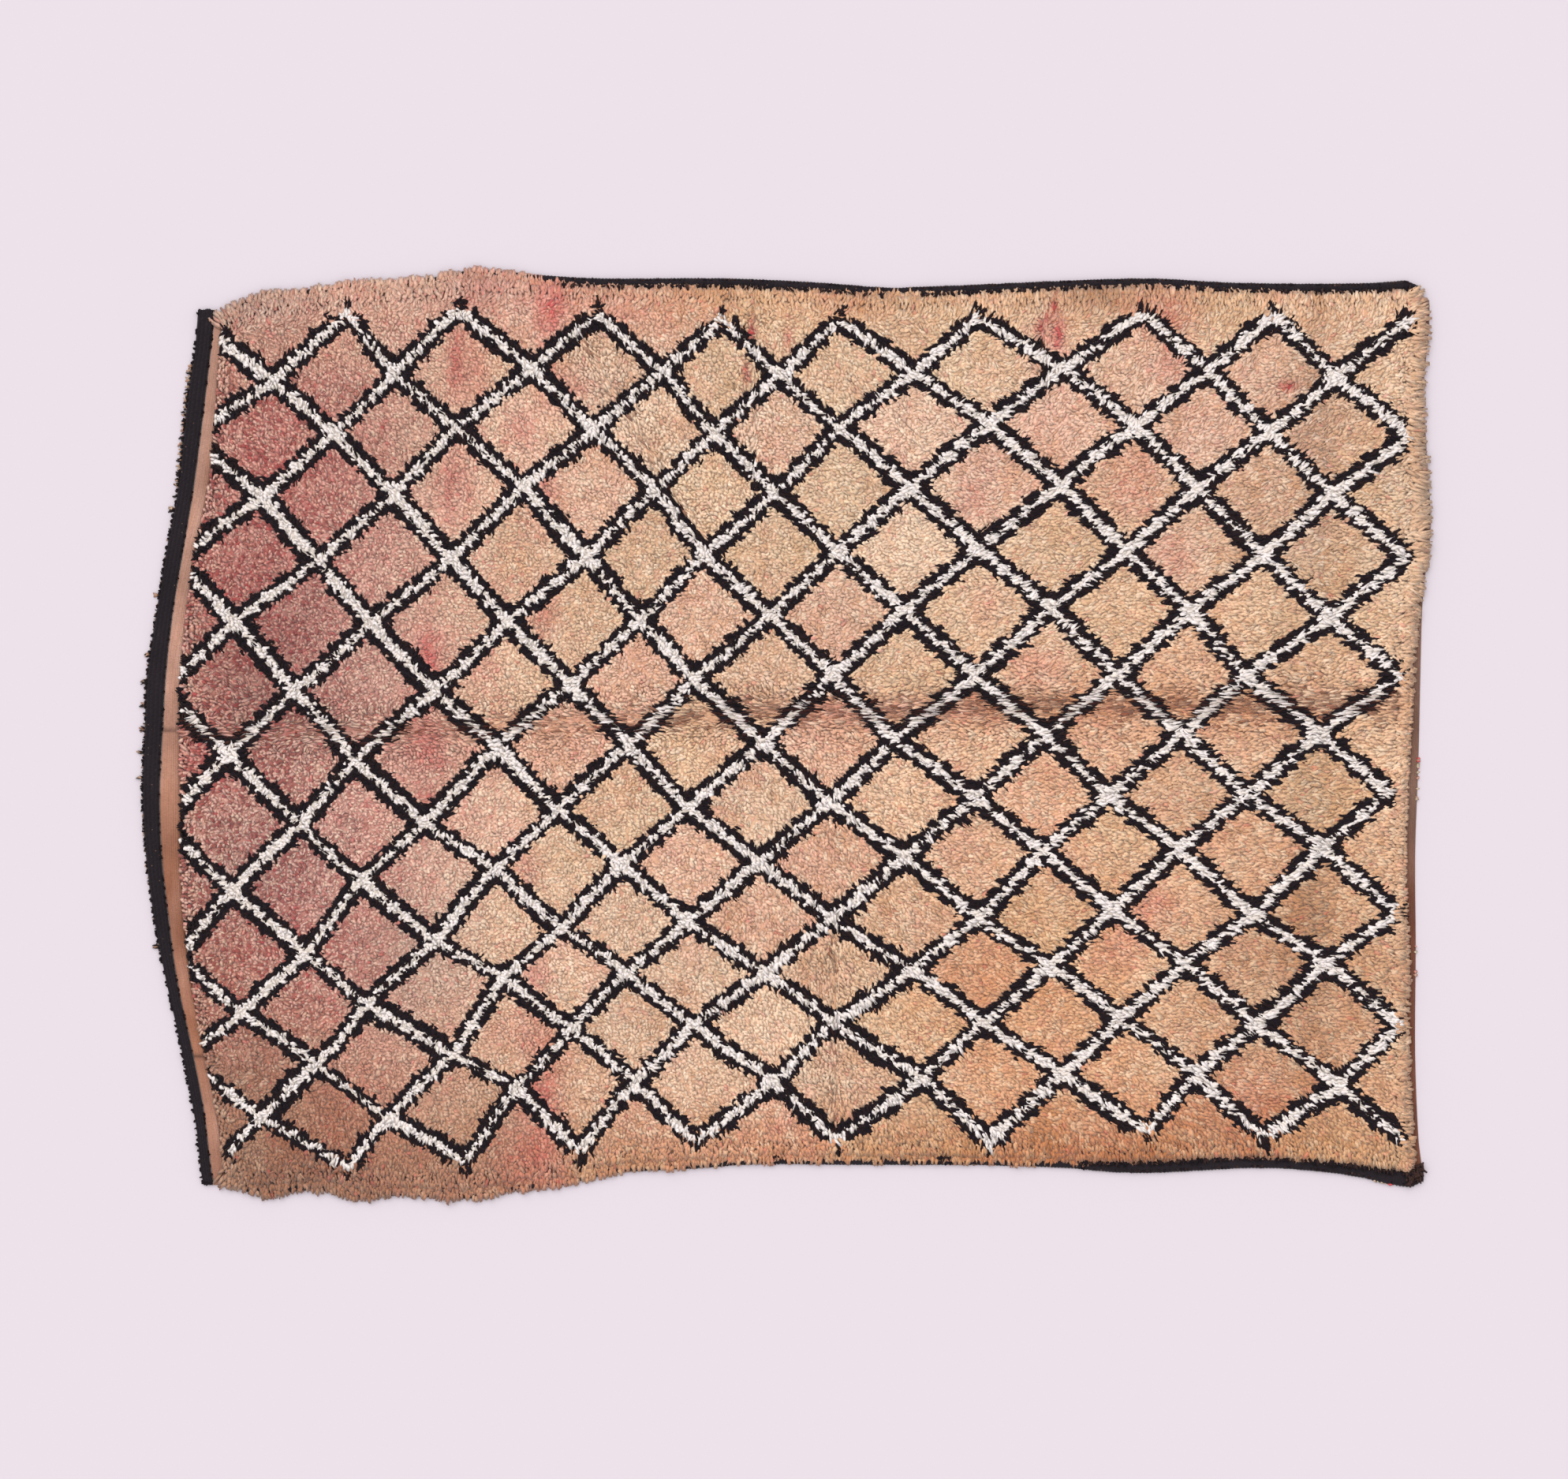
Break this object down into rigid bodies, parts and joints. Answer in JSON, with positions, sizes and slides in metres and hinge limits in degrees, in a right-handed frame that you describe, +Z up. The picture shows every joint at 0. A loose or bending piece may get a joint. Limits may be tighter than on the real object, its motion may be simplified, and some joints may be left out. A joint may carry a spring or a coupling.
{
  "type": "boujaad rug",
  "caption": "Hand-knotted wool shag rug lying flat, with a diamond lattice, overcast side cords, and a flat-woven heading and band at one end.",
  "frame": {"origin": "centre of the rug's box, on the underside", "axes": "+X along the length towards the brown end, +Y across the width towards the back side, +Z up through the pile"},
  "size_m": [2.4688, 1.785, 0.0178],
  "materials": {
    "pile_wool": "matt, soft knotted wool shag in faded peach, with a black and cream lattice",
    "black_wool": "matt black wool, overcast over a cord or closely woven",
    "heading_wool": "matt flat weave in faded tan-peach wool with fine ribs",
    "brown_wool": "matt flat weave in grey-brown wool with fine ribs",
    "warp_wool": "matt undyed wool warp, cut and knotted"
  },
  "bodies": {
    "root": {"pile_field": "pile_wool", "locks_back": "pile_wool", "locks_front": "pile_wool", "locks_right": "pile_wool", "selvedge_back": "black_wool", "selvedge_front": "black_wool", "heading_weave": "heading_wool", "end_band_black": "black_wool", "warp_ends_left": "warp_wool", "end_weave_brown": "brown_wool"}
  },
  "joints": []
}
